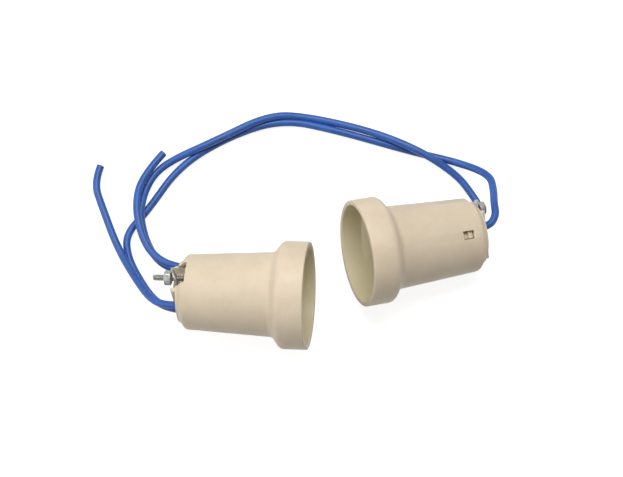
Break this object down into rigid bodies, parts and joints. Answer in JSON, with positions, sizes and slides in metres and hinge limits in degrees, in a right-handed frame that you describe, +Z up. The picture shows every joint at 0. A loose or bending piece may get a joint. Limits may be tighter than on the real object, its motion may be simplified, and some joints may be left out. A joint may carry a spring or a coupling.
{
  "type": "wired pair of lamp holders",
  "caption": "Cylindrical screw lamp holders with flared collars and rear fixing screws, wired in parallel by blue link wires with free supply leads.",
  "frame": {"origin": "centre of the base of the two holders' bounding box, on the surface they lie on, without the wires", "axes": "+X along the left holder's axis seen from above, towards its mouth; +Z up from the surface"},
  "size_m": [0.2027, 0.1252, 0.0538],
  "materials": {
    "cream_moulding": "satin moulded thermoplastic",
    "cream_insert": "satin moulded thermoplastic",
    "shell_metal": "nickel-plated rolled sheet",
    "spring_bronze": "rolled spring strip",
    "brass_parts": "satin",
    "zinc_hardware": "zinc-plated",
    "blue_insulation": "semi-gloss extruded insulation"
  },
  "bodies": {
    "holders": {"left_housing": "cream_moulding", "left_contact_block": "cream_insert", "left_screw_shell": "shell_metal", "left_centre_rivet": "brass_parts", "left_shell_rivet": "brass_parts", "left_centre_terminal": "brass_parts", "left_shell_terminal": "brass_parts", "left_centre_clamp_screw": "zinc_hardware", "left_shell_clamp_screw": "zinc_hardware", "left_fixing_screw": "zinc_hardware", "left_fixing_nut": "zinc_hardware", "left_fixing_washer": "zinc_hardware", "right_housing": "cream_moulding", "right_contact_block": "cream_insert", "right_screw_shell": "shell_metal", "right_centre_rivet": "brass_parts", "right_shell_rivet": "brass_parts", "right_centre_terminal": "brass_parts", "right_shell_terminal": "brass_parts", "right_centre_clamp_screw": "zinc_hardware", "right_shell_clamp_screw": "zinc_hardware", "right_fixing_screw": "zinc_hardware", "right_fixing_nut": "zinc_hardware", "right_fixing_washer": "zinc_hardware", "supply_lead_lower": "blue_insulation", "supply_lead_upper": "blue_insulation", "link_wire_lower": "blue_insulation", "link_wire_upper": "blue_insulation"},
    "left_leaf": {"left_centre_contact": "spring_bronze"},
    "right_leaf": {"right_centre_contact": "spring_bronze"}
  },
  "joints": [
    {"name": "left_contact_flex", "type": "hinge", "parent": "holders", "child": "left_leaf", "pos_m": [-0.04764, -0.02048, 0.02352], "axis": [-0.1609, 0.3907, 0.9063], "range_deg": [0, 8], "stiffness_Nm_per_rad": 0.3},
    {"name": "right_contact_flex", "type": "hinge", "parent": "holders", "child": "right_leaf", "pos_m": [0.05371, 0.02044, 0.01448], "axis": [-0.1823, 0.9238, 0.3368], "range_deg": [0, 8], "stiffness_Nm_per_rad": 0.3}
  ]
}
